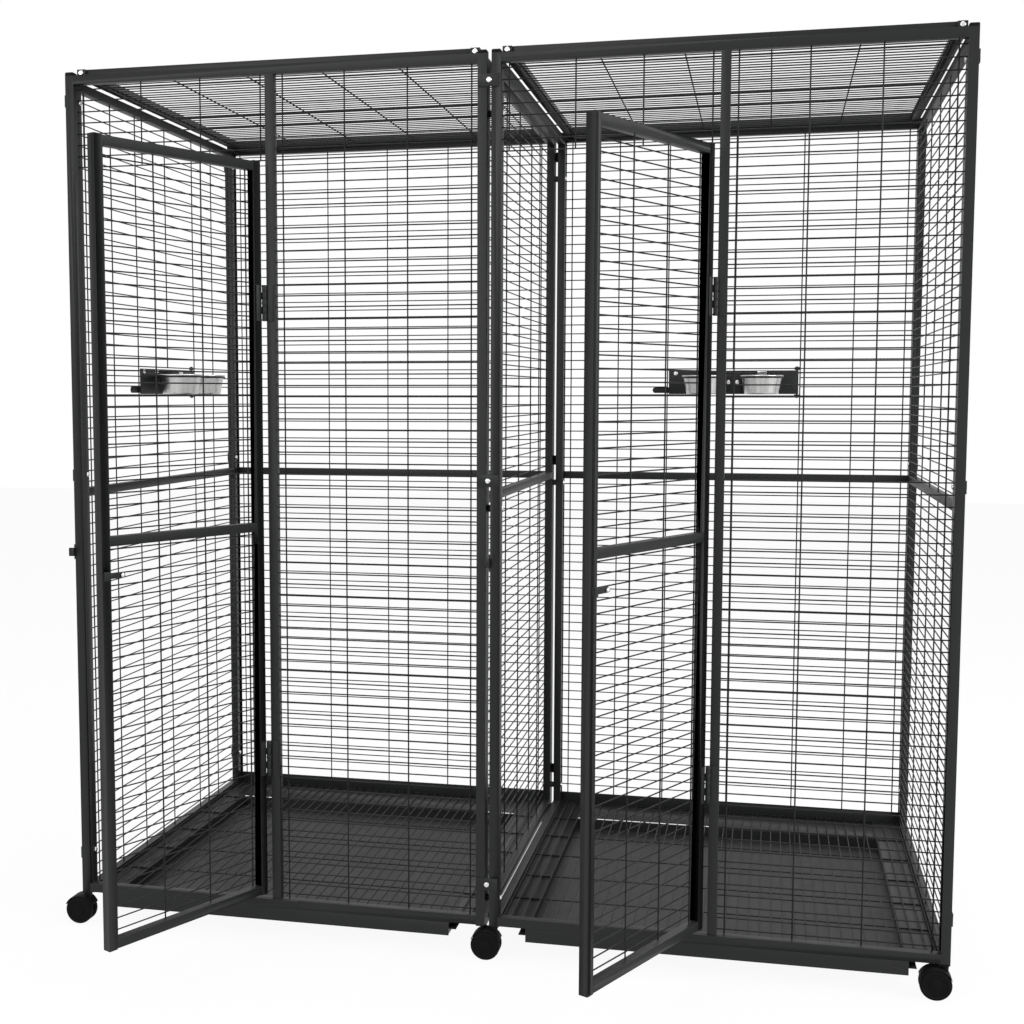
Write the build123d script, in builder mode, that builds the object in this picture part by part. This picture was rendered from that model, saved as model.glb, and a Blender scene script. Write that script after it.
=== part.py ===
from build123d import *

"""Two-bay bird aviary on castors: welded square-tube frames, wire panels, outward doors,
swing-out feeders with lift-out bowls and slide-out trays.

Millimetres, +Z up. Pieces are drawn in the frame of one bay: X from the bay's left face,
Y from its front face, Z from the feet of its posts. They are then set beside each other,
with the origin on the floor below the middle of the whole frame, and +Y to the back."""

import os

# Overall sizes
bay_width = 980.0
bay_gap = 10.0
panel_height = 1909.0
castor_height = 75.0

# Square tube and its end caps
tube = 20.0
tube_wall = 1.2
foot_cap = 3.0
dome_cap = 8.0
dome_edge = 3.5
plug = 1.5

# Heights above the feet of the posts
side_drop = 9.0
mid_rail_low = 949.0
roof_overlap = 3.0
roof_cap = 2.0
roof_cross_setback = 6.0

# Welded wire
wire_upright = 3.3
wire_cross = 3.0
net_depth = 5.8
net_back = 0.1
net_sheet = 0.8
wire_pitch = 25.0
front_first_wire = 10.0
mid_rail_to_wire = 15.0

# Doors
door_open = 64.0
door_gap_post = 2.0
door_gap_hinge = 6.0
door_low = 40.0
door_high = 1701.0
door_mid_low = 880.0
door_cap = 2.2

# Butt hinges
hinge_heights = (357.0, 1391.0)
hinge_length = 80.0
hinge_leaf = 2.0
leaf_width = 14.0
pin_forward = 6.0
pin_radius = 3.0
knuckle_radius = 5.5
knuckle_count = 5
knuckle_gap = 0.3
pin_fit = 0.06

# Door latches
latch_height = 820.5
bolt_thick = 3.0
bolt_tall = 12.0
bolt_left = 23.0
bolt_length = 51.0
bolt_stand_off = 2.5
guide_left = 24.0
guide_width = 10.0
knob_x = 68.0
knob_high = 6.0
keeper_fit = 0.8
keeper_depth = 16.0
bolt_fit = 0.5
guide_wall = 2.5
guide_tall = 18.0
knob_radius = 5.0
keeper_tall = 35.0
keeper_reach = 12.0
keeper_plate = 3.0

# Mullion foot plate
foot_plate_width = 105.0
foot_plate_tall = 7.0
foot_plate_thick = 2.0

# Floor
pan_sheet = 1.2
pan_opening_width = 808.0
pan_front_strip = 12.0
pan_back_strip = 138.0
kick_top = 33.0
kick_sheet = 1.5
tray_width = 812.0
tray_length = 860.0
tray_wall = 1.2
tray_drop = 28.0
tray_clearance = 1.5
apron_width = 815.0
apron_sheet = 1.5
rib_reach = 18.0
rib_clearance = 0.3
runner_width = 27.0
runner_drop = 17.5
runner_gap = 6.0
runner_setback = 50.0
grate_edge = 2.0

# Feeders
feeder_middle = 1221.5
hatch_width = 352.0
hatch_height = 65.0
hatch_sheet = 1.5
hatch_inset = 1.5
hatch_cut_rows = 3
cut_half = 180.0
feeder_pin_in = 4.0
feeder_pin_out = 9.0
feeder_pin_radius = 2.5
eye_width = 14.0
eye_tall = 8.0
eye_depth = 6.8
lug_tall = 12.0
lug_inset = 3.0
rod_overrun = 6.0
bracket_bolt = 12.0
ring_seat = 0.3
bowl_offset = 78.0
bowl_radius = 58.0
bowl_wall_radius = 54.0
bowl_base_radius = 46.0
bowl_height = 52.0
bowl_top = 1240.0
bowl_sheet = 0.8
bowl_rim = 4.0
bowl_stand_off = 65.0
ring_rod = 4.0
ring_fit = 0.6
ring_tab = 24.0
bracket_width = 42.0
bracket_depth = 18.0
bracket_tall = 60.0
clip_width = 24.0
clip_tall = 9.0
clip_thick = 2.0
lever_pivot = 157.0
lever_reach = 64.0
lever_tail = 10.0
lever_tall = 16.0
lever_thick = 2.5
lever_height = 1200.0
lever_boss_radius = 4.0
lever_fit = 0.06
lever_gap = 0.3

# Clamps and bolts
clamp_heights = (98.0, 1000.0, 1855.0)
clamp_width = 48.0
clamp_tall = 27.0
clamp_plate = 2.5
bolt_head_radius = 6.0
bolt_head_high = 4.0
spacer_radius = 8.0
clamp_margin = 1.0
side_bolt_heights = (58.0, 938.0, 1790.0)

# Castors
wheel_radius = 33.0
wheel_width = 13.0
wheel_round = 5.0
wheel_spread = 6.0
castor_trail = 18.0
axle_radius = 3.0
castor_fit = 0.05
fender_gap = 0.6
fender_sheet = 1.4
fender_angle = 68.0
web_thick = 8.0
neck_radius = 7.5
collar_radius = 9.5
collar_thick = 3.5
collar_gap = 0.3
neck_low = -11.3
web_inset = 4.0
stem_radius = 4.0
stem_length = 26.0

# Worked-out sizes
bay_depth = bay_width + 2 * tube
frame_low = foot_cap
frame_high = foot_cap + panel_height
opening_low = frame_low + tube
opening_high = frame_high - tube
mid_rail_high = mid_rail_low + tube
middle = bay_width / 2
mullion_left = middle - tube / 2
mullion_right = middle + tube / 2
side_low = frame_low - side_drop
side_high = frame_high - side_drop
back_inner = bay_depth - tube
pin_x = mullion_left - door_gap_hinge / 2
pin_y = -pin_forward
door_left = tube + door_gap_post
door_right = mullion_left - door_gap_hinge
roof_low = frame_high - roof_overlap
roof_cross_front = tube + roof_cross_setback
bay_left = (-bay_width - bay_gap / 2, bay_gap / 2)
hatch_cut = hatch_cut_rows * wire_pitch
cut_low_row = round((feeder_middle - hatch_cut / 2 - mid_rail_high - mid_rail_to_wire) / wire_pitch)
cut_low = mid_rail_high + mid_rail_to_wire + cut_low_row * wire_pitch
cut_high = cut_low + hatch_cut

os.makedirs("parts", exist_ok=True)


# Shared shapes


def plane_along(axis, low, high):
    """Plane across the low end of a box, facing along the axis, centred on it."""
    centre = [(a + b) / 2 for a, b in zip(low, high)]
    if axis == "x":
        return Plane(origin=(low[0], centre[1], centre[2]), x_dir=(0, 1, 0), z_dir=(1, 0, 0))
    if axis == "y":
        return Plane(origin=(centre[0], low[1], centre[2]), x_dir=(1, 0, 0), z_dir=(0, 1, 0))
    return Plane(origin=(centre[0], centre[1], low[2]))


def spans_across(axis, low, high):
    """Width, height and length of a box, as seen along the axis."""
    span = [b - a for a, b in zip(low, high)]
    if axis == "x":
        return span[1], span[2], span[0]
    if axis == "y":
        return span[0], span[2], span[1]
    return span[0], span[1], span[2]


def square_tube(axis, low, high):
    """Hollow tube that fills the box and is open along the axis."""
    width, height, length = spans_across(axis, low, high)
    with BuildPart() as piece:
        with BuildSketch(plane_along(axis, low, high)):
            Rectangle(width, height)
            Rectangle(width - 2 * tube_wall, height - 2 * tube_wall, mode=Mode.SUBTRACT)
        extrude(amount=length)
    return piece.part


def block(low, high):
    """Plain box between two corners."""
    width, height, length = spans_across("z", low, high)
    with BuildPart() as piece:
        with BuildSketch(plane_along("z", low, high)):
            Rectangle(width, height)
        extrude(amount=length)
    return piece.part


def disc(centre, facing, radius, length):
    """Cylinder from a centre point along a facing direction."""
    with BuildPart() as piece:
        with BuildSketch(Plane(origin=centre, z_dir=facing)):
            Circle(radius)
        extrude(amount=length)
    return piece.part


def bolt_head(centre, facing):
    """Domed bolt head that sits on a face."""
    with BuildPart() as piece:
        with BuildSketch(Plane(origin=centre, z_dir=facing)):
            Circle(bolt_head_radius)
        extrude(amount=bolt_head_high)
        top = piece.faces().filter_by(GeomType.PLANE).sort_by_distance(centre)[-1]
        fillet(top.edges(), radius=bolt_head_high * 0.7)
    return piece.part


def upright_plane(origin, across):
    """Upright plane whose X runs across and whose Y runs up."""
    return Plane(origin=origin, x_dir=across, z_dir=Vector(*across).cross(Vector(0, 0, 1)))


def net(plane, widths, heights):
    """Closed sheet that stands for a welded wire net and weighs as much as its wire."""
    with BuildPart() as piece:
        with BuildSketch(plane):
            with Locations((sum(widths) / 2, sum(heights) / 2)):
                Rectangle(widths[1] - widths[0], heights[1] - heights[0])
        extrude(amount=net_sheet)
    return piece.part


def write(name, pieces, corner=(0.0, 0.0)):
    """Move the pieces into the shared frame and write them as one node."""
    place = Location((corner[0], corner[1] - bay_depth / 2, castor_height))
    moved = [piece.moved(place) for piece in pieces]
    node = moved[0] if len(moved) == 1 else Compound(children=moved)
    node.label = name
    export_step(node, f"parts/{name}.step")


# Frames


def front_frame():
    """Posts, rails and mullion of a bay's front, with the plate at the mullion's foot."""
    pieces = [
        square_tube("z", (0, 0, frame_low), (tube, tube, frame_high)),
        square_tube("z", (bay_width - tube, 0, frame_low), (bay_width, tube, frame_high)),
        square_tube("x", (tube, 0, frame_low), (bay_width - tube, tube, opening_low)),
        square_tube("x", (tube, 0, opening_high), (bay_width - tube, tube, frame_high)),
        square_tube("z", (mullion_left, 0, opening_low), (mullion_right, tube, opening_high)),
    ]
    plate_left = middle - foot_plate_width / 2
    plate_low = (plate_left, -foot_plate_thick, opening_low - foot_plate_tall)
    pieces.append(block(plate_low, (plate_left + foot_plate_width, 0, opening_low)))
    return pieces


def back_frame():
    """Posts and three rails of a bay's back."""
    pieces = [
        square_tube("z", (0, back_inner, frame_low), (tube, bay_depth, frame_high)),
        square_tube("z", (bay_width - tube, back_inner, frame_low), (bay_width, bay_depth, frame_high)),
    ]
    for low in (frame_low, mid_rail_low, opening_high):
        pieces.append(square_tube("x", (tube, back_inner, low), (bay_width - tube, bay_depth, low + tube)))
    return pieces


def side_frame(left, rail_heights):
    """Two stiles and the rails between them, set between a bay's front and back."""
    stile_low = side_low + plug
    stile_high = side_high - plug
    pieces = []
    for start in (tube, back_inner - tube):
        pieces.append(square_tube("z", (left, start, stile_low), (left + tube, start + tube, stile_high)))
    for low in rail_heights:
        rail_start = (left, 2 * tube, low)
        pieces.append(square_tube("y", rail_start, (left + tube, back_inner - tube, low + tube)))
    return pieces


def roof_frame():
    """Roof panel's tubes, capped and set between the front and back rails."""
    start = tube + roof_cap
    end = back_inner - roof_cap
    pieces = []
    for left in (tube, bay_width - 2 * tube):
        pieces.append(square_tube("y", (left, start, roof_low), (left + tube, end, roof_low + tube)))
        for face in (tube, end):
            pieces.append(block((left, face, roof_low), (left + tube, face + roof_cap, roof_low + tube)))
    for front in (roof_cross_front, bay_depth - roof_cross_front - tube):
        cross_end = (bay_width - 2 * tube, front + tube, roof_low + tube)
        pieces.append(square_tube("x", (2 * tube, front, roof_low), cross_end))
    return pieces


def post_caps(castor_lefts):
    """Foot caps and domed top caps of one bay's four posts."""
    pieces = []
    for left in (0, bay_width - tube):
        for front in (0, back_inner):
            centre = (left + tube / 2, front + tube / 2)
            with BuildPart() as foot:
                with BuildSketch(Plane.XY):
                    with Locations(centre):
                        Rectangle(tube, tube)
                        if left in castor_lefts:
                            Circle(stem_radius + castor_fit, mode=Mode.SUBTRACT)
                extrude(amount=foot_cap)
            pieces.append(foot.part)
            with BuildPart() as dome:
                with BuildSketch(Plane.XY.offset(frame_high)):
                    with Locations(centre):
                        Rectangle(tube, tube)
                extrude(amount=dome_cap)
                fillet(dome.faces().sort_by(Axis.Z)[-1].edges(), radius=dome_edge)
            pieces.append(dome.part)
    return pieces


def stile_plugs(left):
    """Flat plugs in the ends of one side panel's stiles."""
    pieces = []
    for start in (tube, back_inner - tube):
        for low in (side_low, side_high - plug):
            pieces.append(block((left, start, low), (left + tube, start + tube, low + plug)))
    return pieces


# Nets, each a sheet at the outer side of the wire's depth

inside = (tube, bay_width - tube)


def front_nets():
    """Net beside the door, and net over it from the first whole wire above the door."""
    plane = upright_plane((0, tube - net_back, 0), (1, 0, 0))
    first_wire = opening_low + front_first_wire
    rows_below = int((door_high + door_cap + wire_cross / 2 - first_wire) // wire_pitch) + 1
    over_low = first_wire + rows_below * wire_pitch - wire_cross / 2
    return [
        net(plane, (mullion_right, bay_width - tube), (opening_low, opening_high)),
        net(plane, (tube, mullion_left), (over_low, opening_high)),
    ]


def wall_nets(plane, bottom, top, with_feeder):
    """Nets below and above a wall's mid rail, clear of the feeder's cut-out if it has one."""
    pieces = [net(plane, inside, (bottom, mid_rail_low))]
    if not with_feeder:
        pieces.append(net(plane, inside, (mid_rail_high, top)))
        return pieces
    below = cut_low + wire_cross / 2
    above = cut_high - wire_cross / 2
    cut_left = middle - cut_half + wire_upright / 2
    cut_right = middle + cut_half - wire_upright / 2
    pieces.append(net(plane, inside, (mid_rail_high, below)))
    pieces.append(net(plane, inside, (above, top)))
    pieces.append(net(plane, (tube, cut_left), (below, above)))
    pieces.append(net(plane, (cut_right, bay_width - tube), (below, above)))
    return pieces


def side_nets(left, with_feeder):
    """Nets of a side panel, near the face that looks into the bay."""
    face = left + tube - net_back - net_depth if left == 0 else left + net_back
    plane = upright_plane((face, tube, 0), (0, 1, 0))
    return wall_nets(plane, side_low + tube, side_high - tube, with_feeder)


def back_nets(with_feeder):
    """Nets of a back panel."""
    plane = upright_plane((0, back_inner + net_back + net_depth, 0), (1, 0, 0))
    return wall_nets(plane, opening_low, opening_high, with_feeder)


def roof_net():
    """Net of the roof."""
    low = roof_cross_front + tube
    plane = Plane.XY.offset(roof_low + net_back)
    return net(plane, (2 * tube, bay_width - 2 * tube), (low, bay_depth - low))


# Floor

pan_left = middle - pan_opening_width / 2
pan_right = middle + pan_opening_width / 2
kick_face = back_inner - kick_sheet
pan_top = frame_low + pan_sheet
ledge_top = frame_low - runner_drop + pan_sheet
rib_low = ledge_top + rib_clearance


def floor_pan():
    """Sheet strips round the tray's opening, the kick sheet behind them and the tray's runners."""
    back_strip = kick_face - pan_back_strip
    strips = [
        ((tube, tube), (pan_left, kick_face)),
        ((pan_right, tube), (bay_width - tube, kick_face)),
        ((pan_left, tube), (pan_right, tube + pan_front_strip)),
        ((pan_left, back_strip), (pan_right, kick_face)),
    ]
    pieces = [block((*low, frame_low), (*high, pan_top)) for low, high in strips]
    pieces.append(block((tube, kick_face, frame_low), (bay_width - tube, back_inner, kick_top)))
    for side in (-1, 1):
        inner = middle + side * (tray_width / 2 + runner_gap)
        outer = inner + side * runner_width
        web = outer - side * pan_sheet
        foot = frame_low - runner_drop
        start = tube + runner_setback
        with BuildPart() as runner:
            with BuildSketch(upright_plane((0, start, 0), (1, 0, 0))):
                with BuildLine():
                    Polyline(
                        (outer, frame_low), (outer, foot), (inner, foot), (inner, ledge_top),
                        (web, ledge_top), (web, frame_low), close=True,
                    )
                make_face()
            extrude(amount=start - tray_length)
        pieces.append(runner.part)
    return pieces


def floor_grate():
    """Wire grate on the pan."""
    widths = (tube + grate_edge, bay_width - tube - grate_edge)
    heights = (tube + grate_edge, kick_face - grate_edge)
    return net(Plane.XY.offset(pan_top), widths, heights)


def floor_tray():
    """Pull-out tray with a rib along each side and the apron across its front."""
    height = tray_drop + frame_low - tray_clearance
    length = tray_length - apron_sheet
    centre = (middle, apron_sheet + length / 2)
    rib_width = tray_width + 2 * rib_reach
    with BuildPart() as tray:
        with BuildSketch(Plane.XY.offset(-tray_drop)):
            with Locations(centre):
                Rectangle(tray_width, length)
        extrude(amount=height)
        offset(amount=-tray_wall, openings=tray.faces().sort_by(Axis.Z)[-1])
        with BuildSketch(Plane.XY.offset(rib_low)):
            with Locations(centre):
                Rectangle(rib_width, length)
                Rectangle(tray_width - tray_wall, length, mode=Mode.SUBTRACT)
        extrude(amount=tray_wall)
        with BuildSketch(Plane.XY.offset(-tray_drop)):
            with Locations((middle, apron_sheet / 2)):
                Rectangle(apron_width, apron_sheet)
        extrude(amount=tray_drop + frame_low - tray_clearance / 3)
    return tray.part


# Doors

hinge_axis = Axis((pin_x, pin_y, 0), (0, 0, 1))


def swung(pieces):
    """The door's pieces, turned from closed to where the door stands open."""
    return [piece.rotate(hinge_axis, door_open) for piece in pieces]


def door_frame():
    """Door's stiles, rails, end caps and the latch's guide, drawn closed."""
    pieces = []
    for left in (door_left, door_right - tube):
        right = left + tube
        pieces.append(square_tube("z", (left, 0, door_low), (right, tube, door_high)))
        for low in (door_low - door_cap, door_high):
            pieces.append(block((left, 0, low), (right, tube, low + door_cap)))
    for low in (door_low, door_mid_low, door_high - tube):
        pieces.append(square_tube("x", (door_left + tube, 0, low), (door_right - tube, tube, low + tube)))
    channel = -bolt_stand_off + bolt_fit
    channel_front = -bolt_stand_off - bolt_thick - bolt_fit
    with BuildPart() as guide:
        with BuildSketch(Plane.XZ.offset(-channel_front + guide_wall)):
            with Locations((guide_left + guide_width / 2, latch_height)):
                Rectangle(guide_width, guide_tall)
        extrude(amount=channel_front - guide_wall)
        with BuildSketch(Plane.XZ.offset(-channel_front)):
            with Locations((guide_left + guide_width / 2, latch_height)):
                Rectangle(guide_width, bolt_tall + 2 * bolt_fit)
        extrude(amount=channel_front - channel, mode=Mode.SUBTRACT)
    pieces.append(guide.part)
    return pieces


def door_nets():
    """Nets below and above the door's mid rail, drawn closed."""
    plane = upright_plane((0, tube - net_back, 0), (1, 0, 0))
    widths = (door_left + tube, door_right - tube)
    return [
        net(plane, widths, (door_low + tube, door_mid_low)),
        net(plane, widths, (door_mid_low + tube, door_high - tube)),
    ]


def hinge_leaves(on_door):
    """One side's leaf at each hinge height, with its own knuckles of the five."""
    side = -1 if on_door else 1
    leaf_start = pin_x + side * pin_forward
    knuckle_length = hinge_length / knuckle_count
    own = range(1, knuckle_count, 2) if on_door else range(0, knuckle_count, 2)
    pieces = []
    for height in hinge_heights:
        low = height - hinge_length / 2
        with BuildPart() as leaf:
            with BuildSketch(Plane.XY.offset(low)):
                with Locations((leaf_start + side * leaf_width / 2, -hinge_leaf / 2)):
                    Rectangle(leaf_width, hinge_leaf)
            extrude(amount=hinge_length)
            for index in own:
                with BuildSketch(Plane.XY.offset(low + index * knuckle_length + knuckle_gap / 2)):
                    with Locations(((pin_x + leaf_start) / 2, -hinge_leaf / 2)):
                        Rectangle(pin_forward, hinge_leaf)
                    with Locations((pin_x, pin_y)):
                        Circle(knuckle_radius)
                extrude(amount=knuckle_length - knuckle_gap)
            with BuildSketch(Plane.XY.offset(low)):
                with Locations((pin_x, pin_y)):
                    Circle(pin_radius + pin_fit if on_door else pin_radius)
            extrude(amount=hinge_length, mode=Mode.SUBTRACT if on_door else Mode.ADD)
        pieces.append(leaf.part)
    return pieces


def door_latch():
    """Sliding bolt with its knob, drawn back on the closed door."""
    front = bolt_stand_off + bolt_thick
    with BuildPart() as latch:
        with BuildSketch(Plane.XZ.offset(bolt_stand_off)):
            with Locations((bolt_left + bolt_length / 2, latch_height)):
                Rectangle(bolt_length, bolt_tall)
        extrude(amount=bolt_thick)
        with BuildSketch(Plane.XZ.offset(front)):
            with Locations((knob_x, latch_height)):
                Circle(knob_radius)
        extrude(amount=knob_high)
        fillet(latch.faces().sort_by(Axis.Y)[0].edges(), radius=knob_radius / 2)
    return latch.part


def keeper():
    """Keeper on the free side of the post that the door shuts beside, with the bolt's slot."""
    slot_front = bolt_stand_off + bolt_thick + keeper_fit
    nose_front = slot_front + guide_wall
    slot_depth = bolt_thick + 2 * keeper_fit
    slot_tall = bolt_tall + 2 * keeper_fit + bolt_fit
    with BuildPart() as piece:
        with BuildSketch(Plane.XY.offset(latch_height - keeper_tall / 2)):
            with Locations((-keeper_plate / 2, keeper_depth / 2)):
                Rectangle(keeper_plate, keeper_depth)
        extrude(amount=keeper_tall)
        with BuildSketch(Plane.XY.offset(latch_height - slot_tall / 2 - guide_wall)):
            with Locations((-keeper_reach / 2, -nose_front / 2)):
                Rectangle(keeper_reach, nose_front)
        extrude(amount=slot_tall + 2 * guide_wall)
        with BuildSketch(Plane.XY.offset(latch_height - slot_tall / 2)):
            with Locations((-keeper_reach / 2, -slot_front + slot_depth / 2)):
                Rectangle(keeper_reach, slot_depth)
        extrude(amount=slot_tall, mode=Mode.SUBTRACT)
    return piece.part


# Feeders, drawn with X along the wall, Y outward through it and the wall's inner face at Y 0

hatch_low = feeder_middle - hatch_height / 2
hatch_outer = hatch_inset + hatch_sheet
hatch_pin_x = hatch_width / 2 - feeder_pin_in
net_outer = net_back + net_depth
ring_radius = bowl_wall_radius + ring_fit + ring_rod / 2
ring_height = bowl_top - bowl_rim - ring_seat - ring_rod / 2
lever_low = net_outer + lever_gap
lever_high = lever_low + lever_thick


def hatch():
    """Swinging plate with its hinge rod, bowl rings, middle bracket, clips and lever boss."""
    with BuildPart() as piece:
        with BuildSketch(Plane.XY.offset(hatch_low)):
            with Locations((0, hatch_inset + hatch_sheet / 2)):
                Rectangle(hatch_width, hatch_sheet)
        extrude(amount=hatch_height)
        for low in (hatch_low + lug_inset, hatch_low + hatch_height - lug_inset - lug_tall):
            with BuildSketch(Plane.XY.offset(low)):
                with Locations((hatch_pin_x, (hatch_outer + feeder_pin_out) / 2)):
                    Rectangle(2 * feeder_pin_radius, feeder_pin_out - hatch_outer)
            extrude(amount=lug_tall)
        with BuildSketch(Plane.XY.offset(cut_low - rod_overrun)):
            with Locations((hatch_pin_x, feeder_pin_out)):
                Circle(feeder_pin_radius)
        extrude(amount=hatch_cut + 2 * rod_overrun)
        with BuildSketch(Plane.XY.offset(feeder_middle - bracket_tall / 2)):
            with Locations((0, hatch_inset - bracket_depth / 2)):
                Rectangle(bracket_width, bracket_depth)
        extrude(amount=bracket_tall)
        for x in (-bowl_offset, bowl_offset):
            with Locations((x, -bowl_stand_off, ring_height)):
                Torus(ring_radius, ring_rod / 2)
            tab_back = bowl_stand_off - ring_radius
            with BuildSketch(Plane.XY.offset(ring_height - ring_rod / 2)):
                with Locations((x, (hatch_inset - tab_back) / 2)):
                    Rectangle(ring_tab, hatch_inset + tab_back)
            extrude(amount=ring_rod)
            with BuildSketch(Plane.XY.offset(hatch_low + hatch_height - clip_tall - clip_thick)):
                with Locations((x, hatch_inset - clip_thick / 2)):
                    Rectangle(clip_width, clip_thick)
            extrude(amount=clip_tall)
        pivot = Plane(origin=(-lever_pivot, hatch_outer, lever_height), z_dir=(0, 1, 0))
        with BuildSketch(pivot):
            Circle(bolt_head_radius)
        extrude(amount=lever_low - lever_gap - hatch_outer)
        with BuildSketch(pivot):
            Circle(lever_boss_radius)
        extrude(amount=lever_high + lever_gap - hatch_outer)
        with BuildSketch(pivot.offset(lever_high + lever_gap - hatch_outer)):
            Circle(bolt_head_radius)
        extrude(amount=lever_thick)
    return piece.part


def hatch_bolts():
    """Domed bolt heads on the hatch's bracket and corner."""
    bracket_face = hatch_inset - bracket_depth
    corner_height = hatch_low + hatch_height - bolt_head_radius - clip_thick
    return [
        bolt_head((-bracket_bolt, bracket_face, feeder_middle), (0, -1, 0)),
        bolt_head((bracket_bolt, bracket_face, feeder_middle), (0, -1, 0)),
        bolt_head((-lever_pivot, hatch_inset, corner_height), (0, -1, 0)),
    ]


def hatch_lever():
    """Flat lever outside the hatch, which lies across the wall's wire when it is shut."""
    length = lever_reach + lever_tail
    with BuildPart() as piece:
        with BuildSketch(upright_plane((-lever_pivot, lever_high, lever_height), (1, 0, 0))):
            with Locations((lever_tail - length / 2, 0)):
                SlotOverall(length, lever_tall)
            Circle(lever_boss_radius + lever_fit, mode=Mode.SUBTRACT)
        extrude(amount=lever_thick)
    return piece.part


def hinge_eyes():
    """Two eyes on the cut-out's wires that hold the ends of the hatch's rod."""
    pieces = []
    for height in (cut_low, cut_high):
        with BuildPart() as eye:
            with BuildSketch(Plane.XY.offset(height - eye_tall / 2)):
                with Locations((hatch_pin_x, net_outer + eye_depth / 2)):
                    Rectangle(eye_width, eye_depth)
                with Locations((hatch_pin_x, feeder_pin_out)):
                    Circle(feeder_pin_radius + pin_fit, mode=Mode.SUBTRACT)
            extrude(amount=eye_tall)
        pieces.append(eye.part)
    return pieces


def bowl(x):
    """Turned steel bowl with a flat base, sloping wall and rolled rim."""
    low = bowl_top - bowl_height
    with BuildPart() as piece:
        with BuildSketch(Plane.XZ):
            with BuildLine():
                Polyline(
                    (0, low), (bowl_base_radius, low), (bowl_wall_radius, bowl_top - bowl_rim),
                    (bowl_radius, bowl_top - bowl_rim), (bowl_radius, bowl_top),
                    (bowl_wall_radius - bowl_sheet, bowl_top), (bowl_base_radius - bowl_sheet, low + bowl_sheet),
                    (0, low + bowl_sheet), close=True,
                )
            make_face()
        revolve(axis=Axis.Z)
    return piece.part.moved(Location((x, -bowl_stand_off, 0)))


# Castors, drawn with the swivel's axis at X 0 and Y 0, trailing to the left

wheel_centre = (-castor_trail, 0, wheel_radius - castor_height)
wheel_outer = wheel_spread + wheel_width


def castor_fork():
    """Stem, collar, neck, middle web and fender of one castor."""
    centre_x, _, centre_z = wheel_centre
    arc_start = 90 - fender_angle
    inner = wheel_radius + fender_gap
    outer = inner + fender_sheet
    collar_top = -collar_gap
    with BuildPart() as fork:
        with BuildSketch(Plane.XY.offset(collar_top)):
            Circle(stem_radius)
        extrude(amount=stem_length)
        with BuildSketch(Plane.XY.offset(collar_top - collar_thick)):
            Circle(collar_radius)
        extrude(amount=collar_thick)
        with BuildSketch(Plane.XY.offset(neck_low)):
            Circle(neck_radius)
        extrude(amount=collar_top - neck_low)
        with BuildSketch(Plane.XZ):
            with Locations((centre_x, centre_z)):
                Circle(wheel_radius - web_inset)
            with Locations((0, (collar_top + centre_z) / 2)):
                Rectangle(2 * neck_radius, collar_top - centre_z)
        extrude(amount=web_thick / 2, both=True)
        with BuildSketch(Plane.XZ):
            with BuildLine():
                far = CenterArc((centre_x, centre_z), outer, arc_start, 2 * fender_angle)
                near = CenterArc((centre_x, centre_z), inner, arc_start, 2 * fender_angle)
                Line(far @ 0, near @ 0)
                Line(far @ 1, near @ 1)
            make_face()
        extrude(amount=wheel_outer, both=True)
        with BuildSketch(Plane.XZ):
            with Locations((centre_x, centre_z)):
                Circle(axle_radius + castor_fit)
        extrude(amount=web_thick, both=True, mode=Mode.SUBTRACT)
    return fork.part


def castor_wheels():
    """Twin wheels on their axle."""
    centre_x, _, centre_z = wheel_centre
    with BuildPart() as wheels:
        for side in (-1, 1):
            plane = Plane(origin=(centre_x, side * wheel_spread, centre_z), z_dir=(0, side, 0))
            with BuildSketch(plane):
                Circle(wheel_radius)
            extrude(amount=wheel_width)
        rims = wheels.edges().filter_by(GeomType.CIRCLE).sort_by(Axis.Y)
        fillet([rims[0], rims[-1]], radius=wheel_round)
        with BuildSketch(Plane.XZ.offset(-wheel_outer)):
            with Locations((centre_x, centre_z)):
                Circle(axle_radius)
        extrude(amount=2 * wheel_outer)
    return wheels.part


# Clamps between panels and between the bays, drawn in the left bay's frame

seam = bay_width + bay_gap / 2
far_side = 2 * bay_width + bay_gap
stile_middles = (tube * 1.5, back_inner - tube / 2)


def clamp_plates():
    """Plates over the posts at the seam and at the outer corners, and spacers in the seam."""
    pieces = []
    for height in clamp_heights:
        low = height - clamp_tall / 2
        high = height + clamp_tall / 2
        for face in (-clamp_plate, bay_depth):
            start = (seam - clamp_width / 2, face, low)
            pieces.append(block(start, (seam + clamp_width / 2, face + clamp_plate, high)))
        for face in (-clamp_plate, far_side):
            for front in (clamp_margin, back_inner - tube + clamp_margin):
                end = (face + clamp_plate, front + 2 * (tube - clamp_margin), high)
                pieces.append(block((face, front, low), end))
    for height in side_bolt_heights:
        for y in stile_middles:
            pieces.append(disc((bay_width, y, height), (1, 0, 0), spacer_radius, bay_gap))
    return pieces


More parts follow.
